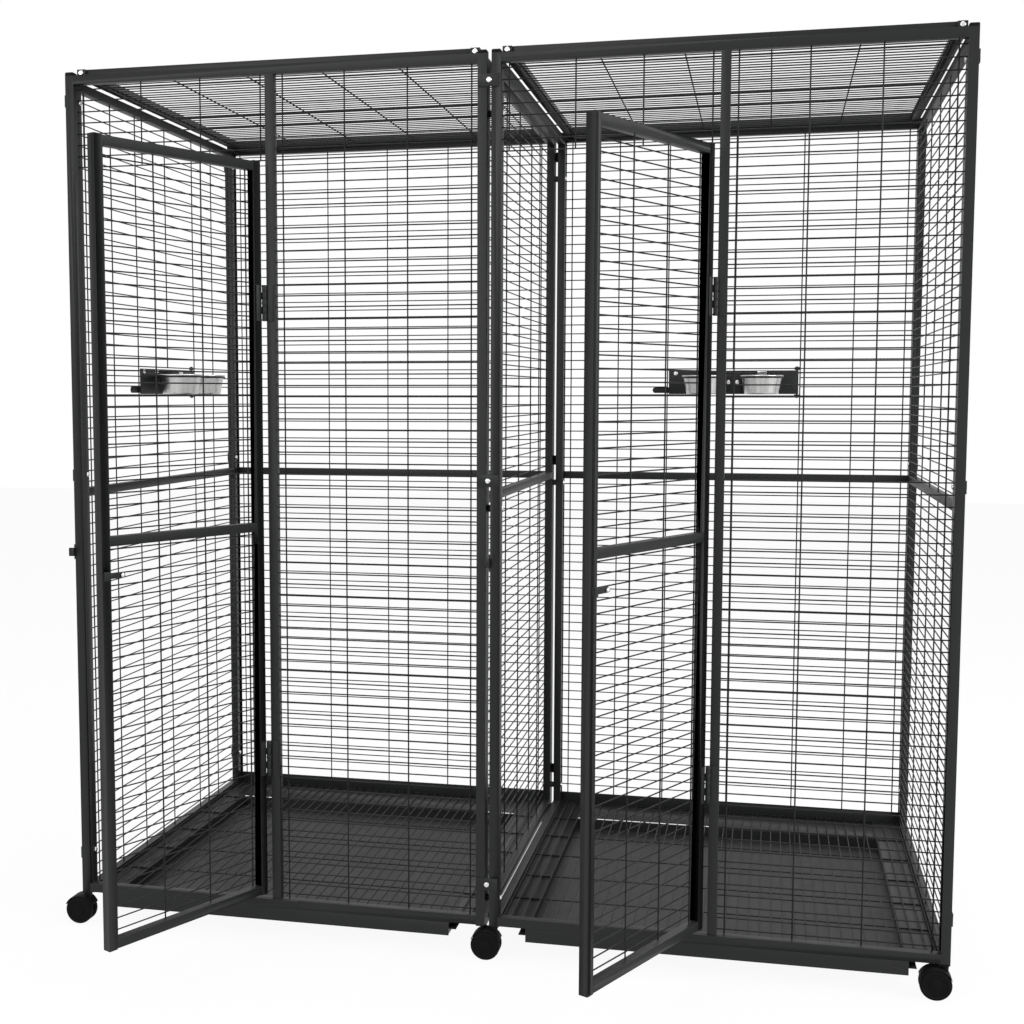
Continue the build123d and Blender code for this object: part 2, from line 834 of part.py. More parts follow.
def clamp_bolts():
    """Domed bolt heads on the clamps, nuts inside the cage, and bolts in the seam and the roof."""
    pieces = []
    for height in clamp_heights:
        pieces.append(bolt_head((seam, -clamp_plate, height), (0, -1, 0)))
        pieces.append(bolt_head((seam, bay_depth + clamp_plate, height), (0, 1, 0)))
        for y in stile_middles:
            pieces.append(bolt_head((-clamp_plate, y, height), (-1, 0, 0)))
            pieces.append(bolt_head((tube, y, height), (1, 0, 0)))
            pieces.append(bolt_head((far_side + clamp_plate, y, height), (1, 0, 0)))
            pieces.append(bolt_head((far_side - tube, y, height), (-1, 0, 0)))
    for height in side_bolt_heights:
        for y in stile_middles:
            pieces.append(bolt_head((bay_width - tube, y, height), (-1, 0, 0)))
            pieces.append(bolt_head((bay_width + bay_gap + tube, y, height), (1, 0, 0)))
    roof_bolt_height = (frame_high + roof_low + tube) / 2
    for left in (0, bay_width + bay_gap):
        for x in (left + tube * 1.5, left + bay_width - tube * 1.5):
            pieces.append(bolt_head((x, tube, roof_bolt_height), (0, -1, 0)))
    return pieces


# Everything written out, bay by bay

all_rails = (side_low, mid_rail_low, side_high - tube)
end_rails = (side_low, side_high - tube)
feeder_on_back = Location((middle, back_inner, 0))
feeder_on_side = Location((tube, tube + middle, 0), (0, 0, 90))
feeders = {"left": feeder_on_side, "right": feeder_on_back}

for bay, left in zip(("left", "right"), bay_left):
    corner = (left, 0)
    feeder = feeders[bay]
    write(f"{bay}_front_frame", front_frame(), corner)
    write(f"{bay}_front_net", front_nets(), corner)
    write(f"{bay}_back_frame", back_frame(), corner)
    write(f"{bay}_back_net", back_nets(with_feeder=bay == "right"), corner)
    write(f"{bay}_roof_frame", roof_frame(), corner)
    write(f"{bay}_roof_net", [roof_net()], corner)
    write(f"{bay}_floor_pan", floor_pan(), corner)
    write(f"{bay}_floor_grate", [floor_grate()], corner)
    write(f"{bay}_tray", [floor_tray()], corner)
    write(f"{bay}_door_frame", swung(door_frame()), corner)
    write(f"{bay}_door_net", swung(door_nets()), corner)
    write(f"{bay}_door_hinge_leaves", swung(hinge_leaves(on_door=True)), corner)
    write(f"{bay}_door_latch", swung([door_latch()]), corner)
    write(f"{bay}_feeder_hatch", [hatch().moved(feeder)] + [b.moved(feeder) for b in hatch_bolts()], corner)
    write(f"{bay}_feeder_lever", [hatch_lever().moved(feeder)], corner)
    for side, x in (("a", -bowl_offset), ("b", bowl_offset)):
        write(f"{bay}_bowl_{side}", [bowl(x).moved(feeder)], corner)

left_corner, right_corner = ((left, 0) for left in bay_left)
write("left_side_frame", side_frame(0, all_rails), left_corner)
write("left_side_net", side_nets(0, with_feeder=True), left_corner)
write("partition_frame", side_frame(bay_width - tube, all_rails), left_corner)
write("partition_net", side_nets(bay_width - tube, with_feeder=False), left_corner)
write("open_side_frame", side_frame(0, end_rails), right_corner)
write("right_side_frame", side_frame(bay_width - tube, all_rails), right_corner)
write("right_side_net", side_nets(bay_width - tube, with_feeder=False), right_corner)

between = Location((bay_width + bay_gap, 0, 0))
castors_left = post_caps((0,))
castors_both = [piece.moved(between) for piece in post_caps((0, bay_width - tube))]
plugs = stile_plugs(0) + stile_plugs(bay_width - tube)
plugs += [piece.moved(between) for piece in plugs]
write("post_caps", castors_left + castors_both + plugs, left_corner)

post_leaves = hinge_leaves(on_door=False)
write("post_hinge_leaves", post_leaves + [piece.moved(between) for piece in post_leaves], left_corner)
write("keepers", [keeper(), keeper().moved(between)], left_corner)
write("clamp_plates", clamp_plates(), left_corner)
write("clamp_bolts", clamp_bolts(), left_corner)
eyes = [piece.moved(feeder_on_side) for piece in hinge_eyes()]
eyes += [piece.moved(between * feeder_on_back) for piece in hinge_eyes()]
write("feeder_eyes", eyes, left_corner)

post_middles = {
    "left": bay_left[0] + tube / 2,
    "middle": bay_left[1] + tube / 2,
    "right": bay_left[1] + bay_width - tube / 2,
}
for row, y in (("front", tube / 2), ("rear", bay_depth - tube / 2)):
    for place, x in post_middles.items():
        write(f"castor_{row}_{place}_fork", [castor_fork()], (x, y))
        write(f"castor_{row}_{place}_wheels", [castor_wheels()], (x, y))
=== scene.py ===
"""Looks of a two-bay bird aviary on castors: coated tube, welded wire, steel bowls.

Metres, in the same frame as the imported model. Places in a bay are given from its left face,
its front face and the feet of its posts, as Bay.place() says."""

import logging
import math
from collections.abc import Sequence
from dataclasses import dataclass
from enum import Enum

import bmesh
import bpy
from mathutils import Matrix, Vector


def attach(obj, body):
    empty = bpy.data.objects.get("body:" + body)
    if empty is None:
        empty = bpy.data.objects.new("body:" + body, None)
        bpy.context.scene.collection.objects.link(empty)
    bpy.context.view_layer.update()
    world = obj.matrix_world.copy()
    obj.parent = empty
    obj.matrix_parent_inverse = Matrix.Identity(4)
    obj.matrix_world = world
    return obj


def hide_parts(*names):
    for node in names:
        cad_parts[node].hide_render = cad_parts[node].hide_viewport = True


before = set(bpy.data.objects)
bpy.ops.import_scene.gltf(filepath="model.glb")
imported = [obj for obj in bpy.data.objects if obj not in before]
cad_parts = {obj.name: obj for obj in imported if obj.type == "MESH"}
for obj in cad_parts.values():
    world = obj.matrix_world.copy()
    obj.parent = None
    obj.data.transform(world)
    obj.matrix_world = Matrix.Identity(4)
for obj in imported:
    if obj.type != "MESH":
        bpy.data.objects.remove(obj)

LOG = logging.getLogger("aviary")
Colour = tuple[float, float, float]
Span = tuple[float, float]
MM = 0.001


class Slot(Enum):
    """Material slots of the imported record."""

    STEEL = "coated_steel"
    WIRE = "coated_wire"
    STAINLESS = "stainless"
    PLATED = "plated_steel"
    PLASTIC = "black_plastic"
    WHEEL = "castor_wheel"


class Facing(Enum):
    """Way that a net's outer side looks."""

    FRONT = "front"
    BACK = "back"
    LEFT = "left"
    RIGHT = "right"
    UP = "up"


# Shared shader groups


def new_group(name: str, inputs: dict[str, float], outputs: Sequence[str]) -> bpy.types.NodeTree:
    """Make an empty shader group.

    Args:
        name: The group's name.
        inputs: Each float input and its default.
        outputs: The float outputs.

    Returns:
        The group, with its interface made.
    """
    group = bpy.data.node_groups.new(name, "ShaderNodeTree")
    for label, value in inputs.items():
        socket = group.interface.new_socket(name=label, in_out="INPUT", socket_type="NodeSocketFloat")
        socket.default_value = value
    for label in outputs:
        group.interface.new_socket(name=label, in_out="OUTPUT", socket_type="NodeSocketFloat")
    return group


def math_node(tree: bpy.types.NodeTree, operation: str, *values: object) -> bpy.types.NodeSocket:
    """Add a Math node.

    Args:
        tree: The tree it goes in.
        operation: The node's operation.
        values: Numbers or sockets for its inputs.

    Returns:
        Its output.
    """
    node = tree.nodes.new("ShaderNodeMath")
    node.operation = operation
    for slot, value in zip(node.inputs, values):
        if isinstance(value, bpy.types.NodeSocket):
            tree.links.new(value, slot)
        else:
            slot.default_value = value
    return node.outputs[0]


def noise_node(tree: bpy.types.NodeTree, vector: bpy.types.NodeSocket, scale: object, detail: float):
    """Add a Noise Texture.

    Args:
        tree: The tree it goes in.
        vector: Its coordinates.
        scale: A number or a socket.
        detail: How many octaves.

    Returns:
        Its value output.
    """
    node = tree.nodes.new("ShaderNodeTexNoise")
    node.inputs["Detail"].default_value = detail
    tree.links.new(vector, node.inputs["Vector"])
    if isinstance(scale, bpy.types.NodeSocket):
        tree.links.new(scale, node.inputs["Scale"])
    else:
        node.inputs["Scale"].default_value = scale
    return node.outputs[0]


class SharedEffects:
    """Node groups that more than one finish uses."""

    def __init__(self) -> None:
        """Build each group once."""
        self.grain = self._grain()
        self.dust = self._dust()
        self.edge = self._edge_highlight()

    def _grain(self) -> bpy.types.NodeTree:
        """Orange peel and slow mottling, as a height and a shade about a half."""
        group = new_group("surface grain", {"Fine": 900.0, "Broad": 6.0}, ("Height", "Mottle"))
        given = group.nodes.new("NodeGroupInput")
        out = group.nodes.new("NodeGroupOutput")
        place = group.nodes.new("ShaderNodeTexCoord").outputs["Object"]
        fine = noise_node(group, place, given.outputs["Fine"], 3.0)
        broad = noise_node(group, place, given.outputs["Broad"], 4.0)
        group.links.new(fine, out.inputs["Height"])
        mixed = math_node(group, "MULTIPLY_ADD", broad, 0.7, math_node(group, "MULTIPLY", fine, 0.3))
        group.links.new(mixed, out.inputs["Mottle"])
        return group

    def _dust(self) -> bpy.types.NodeTree:
        """Settled dust on faces that look up, as a mask."""
        group = new_group("settled dust", {"Amount": 0.2}, ("Mask",))
        given = group.nodes.new("NodeGroupInput")
        out = group.nodes.new("NodeGroupOutput")
        coords = group.nodes.new("ShaderNodeTexCoord")
        parts = group.nodes.new("ShaderNodeSeparateXYZ")
        group.links.new(coords.outputs["Normal"], parts.inputs[0])
        up = math_node(group, "POWER", math_node(group, "MAXIMUM", parts.outputs["Z"], 0.0), 3.0)
        patches = noise_node(group, coords.outputs["Object"], 35.0, 5.0)
        patchy = math_node(group, "MULTIPLY", patches, given.outputs["Amount"])
        group.links.new(math_node(group, "MULTIPLY", up, patchy), out.inputs["Mask"])
        return group

    def _edge_highlight(self) -> bpy.types.NodeTree:
        """Painted highlight along corners, as a mask: lightens the colour where the Bevel normal turns away
        from the face.
        """
        group = new_group("painted edge highlight", {"Width": 0.0015, "Amount": 0.5}, ("Mask",))
        given = group.nodes.new("NodeGroupInput")
        out = group.nodes.new("NodeGroupOutput")
        bevel = group.nodes.new("ShaderNodeBevel")
        bevel.samples = 4
        group.links.new(given.outputs["Width"], bevel.inputs["Radius"])
        plain = group.nodes.new("ShaderNodeNewGeometry")
        dot = group.nodes.new("ShaderNodeVectorMath")
        dot.operation = "DOT_PRODUCT"
        group.links.new(bevel.outputs[0], dot.inputs[0])
        group.links.new(plain.outputs["Normal"], dot.inputs[1])
        turn = math_node(group, "SUBTRACT", 1.0, dot.outputs["Value"])
        mask = math_node(group, "MINIMUM", math_node(group, "MULTIPLY", turn, 8.0), 1.0)
        group.links.new(math_node(group, "MULTIPLY", mask, given.outputs["Amount"]), out.inputs["Mask"])
        return group


@dataclass(frozen=True)
class Finish:
    """One surface finish: a tint that mottles and dusts over a fine grain, with a painted highlight along the
    edges.
    """

    name: str
    deep: Colour
    pale: Colour
    roughness: Span
    metallic: float = 0.0
    grain: float = 900.0
    mottle: float = 6.0
    bump: float = 0.05
    bump_depth: float = 0.0002
    dust: float = 0.12
    dust_colour: Colour = (0.22, 0.21, 0.20)
    # edge: strength of the painted highlight along corners
    edge: float = 0.35
    specular: float = 0.5
    stretch: tuple[float, float, float] = (1.0, 1.0, 1.0)

    def _mix(self, tree: bpy.types.NodeTree, factor: object, low: object, high: object):
        """Add a colour Mix node.

        Args:
            tree: The tree it goes in.
            factor: The factor's socket.
            low: A colour or a socket at factor 0.
            high: A colour or a socket at factor 1.

        Returns:
            Its colour output.
        """
        node = tree.nodes.new("ShaderNodeMix")
        node.data_type = "RGBA"
        tree.links.new(factor, node.inputs[0])
        for slot, value in ((node.inputs[6], low), (node.inputs[7], high)):
            if isinstance(value, bpy.types.NodeSocket):
                tree.links.new(value, slot)
            else:
                slot.default_value = (*value, 1.0)
        return node.outputs[2]

    def material(self, effects: SharedEffects) -> bpy.types.Material:
        """Build the material.

        Args:
            effects: The shared node groups.

        Returns:
            The finished material.
        """
        made = bpy.data.materials.new(self.name)
        made.use_nodes = True
        tree = made.node_tree
        shader = tree.nodes["Principled BSDF"]
        shader.inputs["Metallic"].default_value = self.metallic
        shader.inputs["Specular IOR Level"].default_value = self.specular
        grain = tree.nodes.new("ShaderNodeGroup")
        grain.node_tree = effects.grain
        grain.inputs["Fine"].default_value = self.grain
        grain.inputs["Broad"].default_value = self.mottle
        colour = self._mix(tree, grain.outputs["Mottle"], self.deep, self.pale)
        # Painted highlight: corners are lightened towards a paler tint, standing in for light catching the
        # rounded edges.
        if self.edge:
            edge = tree.nodes.new("ShaderNodeGroup")
            edge.node_tree = effects.edge
            edge.inputs["Amount"].default_value = self.edge
            highlight_tint = tuple(min(1.0, c * 1.9 + 0.01) for c in self.pale)
            colour = self._mix(tree, edge.outputs["Mask"], colour, highlight_tint)
        if self.dust:
            dust = tree.nodes.new("ShaderNodeGroup")
            dust.node_tree = effects.dust
            dust.inputs["Amount"].default_value = self.dust
            colour = self._mix(tree, dust.outputs["Mask"], colour, self.dust_colour)
        tree.links.new(colour, shader.inputs["Base Color"])
        spread = tree.nodes.new("ShaderNodeMapRange")
        spread.inputs["To Min"].default_value = self.roughness[0]
        spread.inputs["To Max"].default_value = self.roughness[1]
        tree.links.new(self._brushed(tree, grain.outputs["Mottle"]), spread.inputs["Value"])
        tree.links.new(spread.outputs[0], shader.inputs["Roughness"])
        bump = tree.nodes.new("ShaderNodeBump")
        bump.inputs["Strength"].default_value = self.bump
        bump.inputs["Distance"].default_value = self.bump_depth
        tree.links.new(grain.outputs["Height"], bump.inputs["Height"])
        tree.links.new(bump.outputs[0], shader.inputs["Normal"])
        return made

    def _brushed(self, tree: bpy.types.NodeTree, mottle: bpy.types.NodeSocket):
        """Value that drives roughness: the mottle, or streaks where the finish is brushed.

        Args:
            tree: The material's tree.
            mottle: The shared grain's mottle.

        Returns:
            A float socket.
        """
        if self.stretch == (1.0, 1.0, 1.0):
            return mottle
        place = tree.nodes.new("ShaderNodeTexCoord")
        mapping = tree.nodes.new("ShaderNodeMapping")
        mapping.inputs["Scale"].default_value = self.stretch
        tree.links.new(place.outputs["Object"], mapping.inputs["Vector"])
        return noise_node(tree, mapping.outputs[0], 1.0, 4.0)


FINISHES = {
    Slot.STEEL: Finish(
        "powder coated tube", (0.009, 0.0095, 0.01), (0.015, 0.0155, 0.016), (0.36, 0.52), specular=0.2
    ),
    Slot.WIRE: Finish(
        "powder coated wire", (0.006, 0.0065, 0.007), (0.011, 0.0115, 0.012), (0.4, 0.55),
        edge=0.0, specular=0.15,
    ),
    Slot.STAINLESS: Finish(
        "spun stainless", (0.5, 0.5, 0.5), (0.66, 0.66, 0.65), (0.2, 0.42), metallic=1.0,
        grain=500.0, bump=0.02, dust=0.0, edge=0.1, stretch=(30.0, 30.0, 2400.0),
    ),
    Slot.PLATED: Finish(
        "zinc plate", (0.55, 0.55, 0.56), (0.75, 0.75, 0.74), (0.22, 0.36), metallic=1.0,
        grain=1500.0, mottle=60.0, dust=0.0, edge=0.2,
    ),
    Slot.PLASTIC: Finish(
        "moulded plastic", (0.003, 0.003, 0.0033), (0.006, 0.006, 0.0063), (0.45, 0.6),
        grain=1800.0, bump=0.12, dust=0.06, edge=0.25, specular=0.07,
    ),
    Slot.WHEEL: Finish(
        "castor tread", (0.003, 0.003, 0.0033), (0.006, 0.006, 0.0063), (0.55, 0.75),
        grain=1200.0, mottle=25.0, bump=0.2, dust=0.06, edge=0.3, specular=0.06,
    ),
}


# Mesh help


def rod(shape: bmesh.types.BMesh, start: Vector, end: Vector, radius: float, sides: int = 8) -> None:
    """Add a closed round rod between two points.

    Args:
        shape: The mesh it goes in.
        start: One end's centre.
        end: The other end's centre.
        radius: The rod's radius.
        sides: How many sides it has.
    """
    run = end - start
    turn = run.to_track_quat("Z", "Y").to_matrix().to_4x4()
    matrix = Matrix.Translation((start + end) / 2) @ turn
    bmesh.ops.create_cone(
        shape, cap_ends=True, segments=sides, radius1=radius, radius2=radius, depth=run.length, matrix=matrix
    )


def slab(shape: bmesh.types.BMesh, low: Vector, high: Vector, soften: float = 0.0) -> None:
    """Add a box between two corners, with softened edges.

    Args:
        shape: The mesh it goes in.
        low: The lowest corner.
        high: The highest corner.
        soften: The bevel's width, or 0 for none.
    """
    size = high - low
    matrix = Matrix.Translation((low + high) / 2) @ Matrix.Diagonal((*size, 1.0))
    made = bmesh.ops.create_cube(shape, size=1.0, matrix=matrix)
    if soften:
        edges = list({edge for vertex in made["verts"] for edge in vertex.link_edges})
        bmesh.ops.bevel(
            shape, geom=edges, offset=soften, segments=3, profile=0.5, affect="EDGES", material=-1
        )


def turned(
    shape: bmesh.types.BMesh, outline: Sequence[Span], centre: Vector, facing: Vector, steps: int
) -> None:
    """Spin an outline about an axis.

    Args:
        shape: The mesh it goes in.
        outline: Radius and height of each point, from axis to axis.
        centre: The axis's foot.
        facing: The axis's direction.
        steps: How many steps make the turn.
    """
    own = bmesh.new()
    points = [own.verts.new((radius, 0.0, height)) for radius, height in outline]
    edges = [own.edges.new(pair) for pair in zip(points, points[1:])]
    bmesh.ops.spin(
        own, geom=points + edges, cent=(0, 0, 0), axis=(0, 0, 1), angle=math.tau, steps=steps, use_merge=True
    )
    bmesh.ops.remove_doubles(own, verts=own.verts, dist=1e-6)
    bmesh.ops.recalc_face_normals(own, faces=own.faces)
    turn = facing.to_track_quat("Z", "Y").to_matrix().to_4x4()
    own.transform(Matrix.Translation(centre) @ turn)
    spare = bpy.data.meshes.new("spare")
    own.to_mesh(spare)
    own.free()
    shape.from_mesh(spare)
    bpy.data.meshes.remove(spare)


class Workshop:
    """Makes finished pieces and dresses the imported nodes."""

    def __init__(self) -> None:
        """Make one material for each slot."""
        effects = SharedEffects()
        self.materials = {slot: finish.material(effects) for slot, finish in FINISHES.items()}

    def piece(
        self, name: str, shape: bmesh.types.BMesh, slot: Slot, body: str, nodes: Sequence[str] = ()
    ) -> bpy.types.Object:
        """Turn a mesh in progress into a piece.

        Args:
            name: The piece's name.
            shape: The mesh, which is freed.
            slot: The finish.
            body: The body it moves with.
            nodes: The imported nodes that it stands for.

        Returns:
            The piece.
        """
        mesh = bpy.data.meshes.new(name)
        shape.to_mesh(mesh)
        shape.free()
        mesh.shade_smooth()
        mesh.set_sharp_from_angle(angle=math.radians(40))
        made = bpy.data.objects.new(name, mesh)
        bpy.context.scene.collection.objects.link(made)
        mesh.materials.append(self.materials[slot])
        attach(made, body)
        if nodes:
            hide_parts(*nodes)
        LOG.info("%s: %d faces", name, len(mesh.polygons))
        return made

    def dress(self, name: str, slot: Slot, soften: float) -> None:
        """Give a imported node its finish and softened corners.

        Args:
            name: The node.
            slot: The finish.
            soften: The corners' radius.
        """
        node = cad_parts[name]
        node.data.materials.clear()
        node.data.materials.append(self.materials[slot])
        weld = node.modifiers.new("weld", "WELD")
        weld.merge_threshold = 1e-5
        bevel = node.modifiers.new("soft corners", "BEVEL")
        bevel.width = soften
        bevel.segments = 2
        bevel.limit_method = "ANGLE"
        bevel.angle_limit = math.radians(50)
        bevel.harden_normals = True
        node.data.shade_smooth()


@dataclass(frozen=True)
class Bay:
    """One bay's place and the sizes that its pieces share."""

    name: str
    left: float
    width: float = 980 * MM
    tube: float = 20 * MM
    post_foot: float = 75 * MM
    depth: float = 1020 * MM
    opening_low: float = 23 * MM
    opening_high: float = 1892 * MM
    side_bottom: float = 14 * MM
    side_top: float = 1883 * MM
    mid_low: float = 949 * MM
    mid_high: float = 969 * MM
    door_tilt: float = math.radians(64)

    @property
    def middle(self) -> float:
        """Middle of the bay's width."""
        return self.width / 2

    def place(self, x: float, y: float, z: float) -> Vector:
        """Point of the shared frame for a point of the bay."""
        return Vector((self.left + x, y - self.depth / 2, z + self.post_foot))

    def door_turn(self) -> Matrix:
        """Turn of the standing-open door about its pins."""
        pin = self.place(477 * MM, -6 * MM, 0)
        turn = Matrix.Rotation(self.door_tilt, 4, "Z")
        return Matrix.Translation(pin) @ turn @ Matrix.Translation(-pin)


BAYS = {"left": Bay("left", -985 * MM), "right": Bay("right", 5 * MM)}


# Wire


def rows(first: float, step: float, last: float) -> list[float]:
    """Positions from the first to short of the last, one step apart."""
    count = math.ceil((last - first) / step - 1e-6)
    return [first + step * i for i in range(max(count, 0))]


@dataclass(frozen=True)
class Wirework:
    """Welded wire, with close wires one way on the inside and stiff ones the other way outside."""

    shop: Workshop
    pitch: float = 25 * MM
    close_radius: float = 1.5 * MM
    stiff_radius: float = 1.65 * MM
    close_inset: float = 1.6 * MM
    stiff_inset: float = 4.25 * MM
    wide_steps: tuple[float, ...] = (180 * MM, 318 * MM, 451 * MM)
    roof_steps: tuple[float, ...] = (90 * MM, 270 * MM, 448 * MM)
    feeder_low: float = 1184 * MM
    feeder_high: float = 1259 * MM
    feeder_half: float = 180 * MM
    rail_to_wire: float = 15 * MM
    lower_rows: int = 38
    fixed_across: Span = (500 * MM, 960 * MM)
    over_across: Span = (20 * MM, 480 * MM)
    over_bottom: float = 1704.7 * MM
    front_inset: float = 16 * MM
    door_across: Span = (42 * MM, 454 * MM)
    door_spans: tuple[Span, ...] = ((60 * MM, 880 * MM), (900 * MM, 1681 * MM))
    door_inset: float = 12 * MM
    roof_level: float = 1909 * MM
    roof_across: Span = (40 * MM, 940 * MM)
    roof_along: Span = (46 * MM, 974 * MM)
    grate_across: Span = (22 * MM, 958 * MM)
    grate_along: Span = (22 * MM, 996.5 * MM)

    def field(
        self,
        shape: bmesh.types.BMesh,
        bay: Bay,
        facing: Facing,
        level: float,
        across: Span,
        along: Span,
        stiff: Sequence[float],
        close: Sequence[float],
    ) -> None:
        """Add the wires of one rectangle of net.

        Args:
            shape: The mesh they go in.
            bay: The bay.
            facing: The way the outer side looks.
            level: The inner side's place along that way.
            across: The rectangle's span across.
            along: Its span up, or back on a roof.
            stiff: Places of the stiff wires across.
            close: Places of the close wires along.
        """
        outward = -1 if facing in (Facing.FRONT, Facing.LEFT) else 1

        def at(u: float, v: float, inset: float) -> Vector:
            """Point of the bay for a point of the net."""
            deep = level + outward * inset
            if facing in (Facing.FRONT, Facing.BACK):
                return bay.place(u, deep, v)
            if facing is Facing.UP:
                return bay.place(u, v, deep)
            return bay.place(deep, bay.tube + u, v)

        edge = 0.2 * MM
        for u in stiff:
            if across[0] - edge <= u <= across[1] + edge:
                ends = at(u, along[0], self.stiff_inset), at(u, along[1], self.stiff_inset)
                rod(shape, *ends, self.stiff_radius)
        for v in close:
            if along[0] - edge <= v <= along[1] + edge:
                ends = at(across[0], v, self.close_inset), at(across[1], v, self.close_inset)
                rod(shape, *ends, self.close_radius)

    def half_wires(self, span: Span, inset: float) -> list[float]:
        """Four even wires, the outer two near the edges."""
        step = (span[1] - span[0] - 2 * inset) / 3
        return [span[0] + inset + step * i for i in range(4)]

    def front(self, bay: Bay) -> None:
        """Net beside the door and net over it."""
        shape = bmesh.new()
        close = rows(bay.opening_low + 10 * MM, self.pitch, bay.opening_high)
        base = next(z for z in close if z > self.over_bottom)
        tall = (bay.opening_low, bay.opening_high)
        short = (base - self.close_radius, bay.opening_high)
        for across, along in ((self.fixed_across, tall), (self.over_across, short)):
            stiff = self.half_wires(across, self.front_inset)
            self.field(shape, bay, Facing.FRONT, bay.tube, across, along, stiff, close)
        name = f"{bay.name}_front_net"
        self.shop.piece(f"{name}_wire", shape, Slot.WIRE, "frame", (name,))

    def door(self, bay: Bay) -> None:
        """Door's two nets, turned with the open door."""
        shape = bmesh.new()
        stiff = self.half_wires(self.door_across, self.door_inset)
        for along in self.door_spans:
            close = rows(along[0] + self.door_inset, self.pitch, along[1])
            self.field(shape, bay, Facing.FRONT, bay.tube, self.door_across, along, stiff, close)
        shape.transform(bay.door_turn())
        name = f"{bay.name}_door_net"
        self.shop.piece(f"{name}_wire", shape, Slot.WIRE, f"{bay.name}_door", (name,))

    def wall(self, bay: Bay, facing: Facing, node: str, with_feeder: bool) -> None:
        """Net of a side or back wall, in one piece.

        Args:
            bay: The bay.
            facing: The way its outer side looks.
            node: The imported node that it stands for.
            with_feeder: Whether a feeder's cut-out is left.
        """
        shape = bmesh.new()
        back = facing is Facing.BACK
        level = {Facing.BACK: bay.depth - bay.tube, Facing.LEFT: bay.tube}.get(facing, bay.width - bay.tube)
        low, high = (bay.opening_low, bay.opening_high) if back else (bay.side_bottom, bay.side_top)
        stiff = [bay.middle + side * step for side in (-1, 1) for step in self.wide_steps] + [bay.middle]
        across = (bay.tube, bay.width - bay.tube)
        lower = [bay.mid_low - self.rail_to_wire - self.pitch * i for i in range(self.lower_rows)]
        lower = [v for v in lower if v > low]
        upper = rows(bay.mid_high + self.rail_to_wire, self.pitch, high - 3 * MM)
        self.field(shape, bay, facing, level, across, (low, bay.mid_low), stiff, lower)
        if with_feeder:
            below = self.feeder_low + self.close_radius
            above = self.feeder_high - self.close_radius
            sides = (
                (across[0], bay.middle - self.feeder_half + self.stiff_radius),
                (bay.middle + self.feeder_half - self.stiff_radius, across[1]),
            )
            self.field(shape, bay, facing, level, across, (bay.mid_high, below), stiff, upper)
            self.field(shape, bay, facing, level, across, (above, high), stiff, upper)
            inner = [v for v in upper if self.feeder_low + MM < v < self.feeder_high - MM]
            for span in sides:
                self.field(shape, bay, facing, level, span, (below, above), stiff, inner)
        else:
            self.field(shape, bay, facing, level, across, (bay.mid_high, high), stiff, upper)
        self.shop.piece(f"{node}_wire", shape, Slot.WIRE, "frame", (node,))

    def roof(self, bay: Bay) -> None:
        """Net of the roof, with its close wires running across."""
        shape = bmesh.new()
        stiff = [bay.middle + side * step for side in (-1, 1) for step in self.roof_steps]
        across, along = self.roof_across, self.roof_along
        half = rows(bay.depth / 2, self.pitch, along[1])
        close = half + [bay.depth - v for v in half[1:]]
        self.field(shape, bay, Facing.UP, self.roof_level, across, along, stiff, close)
        name = f"{bay.name}_roof_net"
        self.shop.piece(f"{name}_wire", shape, Slot.WIRE, "frame", (name,))

    def grate(self, bay: Bay) -> None:
        """Floor grate: close wires running back over a few across, with a border."""
        shape = bmesh.new()
        across, along = self.grate_across, self.grate_along
        radius = self.close_radius
        low = 4.2 * MM + radius
        high = low + 2 * radius - 0.5 * MM
        half = rows(bay.middle, self.pitch, across[1] - self.pitch / 2)
        running = half + [bay.width - x for x in half[1:]] + [across[0] + radius, across[1] - radius]
        for x in running:
            rod(shape, bay.place(x, along[0], high), bay.place(x, along[1], high), radius)
        step = (along[1] - along[0] - 2 * radius) / 6
        for i in range(7):
            y = along[0] + radius + step * i
            rod(shape, bay.place(across[0], y, low), bay.place(across[1], y, low), radius)
        name = f"{bay.name}_floor_grate"
        self.shop.piece(f"{name}_wire", shape, Slot.WIRE, "frame", (name,))


@dataclass(frozen=True)
class DoorLatch:
    """Sliding strap and its bright knob."""

    shop: Workshop
    strap: Span = (23 * MM, 74 * MM)
    depth: Span = (-5.5 * MM, -2.5 * MM)
    height: float = 820.5 * MM
    tall: float = 12 * MM
    knob_x: float = 68 * MM
    knob_radius: float = 5 * MM
    knob_high: float = 6 * MM

    def build(self, bay: Bay) -> None:
        """Make the strap and the knob of a bay's door."""
        node = f"{bay.name}_door_latch"
        body = f"{bay.name}_door_bolt"
        shape = bmesh.new()
        low = bay.place(self.strap[0], self.depth[0], self.height - self.tall / 2)
        high = bay.place(self.strap[1], self.depth[1], self.height + self.tall / 2)
        slab(shape, low, high, 0.6 * MM)
        shape.transform(bay.door_turn())
        self.shop.piece(f"{node}_strap", shape, Slot.STEEL, body, (node,))
        radius = self.knob_radius
        outline = [(0.0, self.knob_high)]
        outline += [
            (radius * math.sin(a), self.knob_high - radius * 0.6 * (1 - math.cos(a)))
            for a in (math.pi / 2 * i / 6 for i in range(1, 7))
        ]
        outline += [(radius, 0.8 * MM), (radius * 0.9, 0.0), (0.0, 0.0)]
        shape = bmesh.new()
        turned(shape, outline, bay.place(self.knob_x, self.depth[0], self.height), Vector((0, -1, 0)), 32)
        shape.transform(bay.door_turn())
        self.shop.piece(f"{node}_knob", shape, Slot.PLATED, body, (node,))


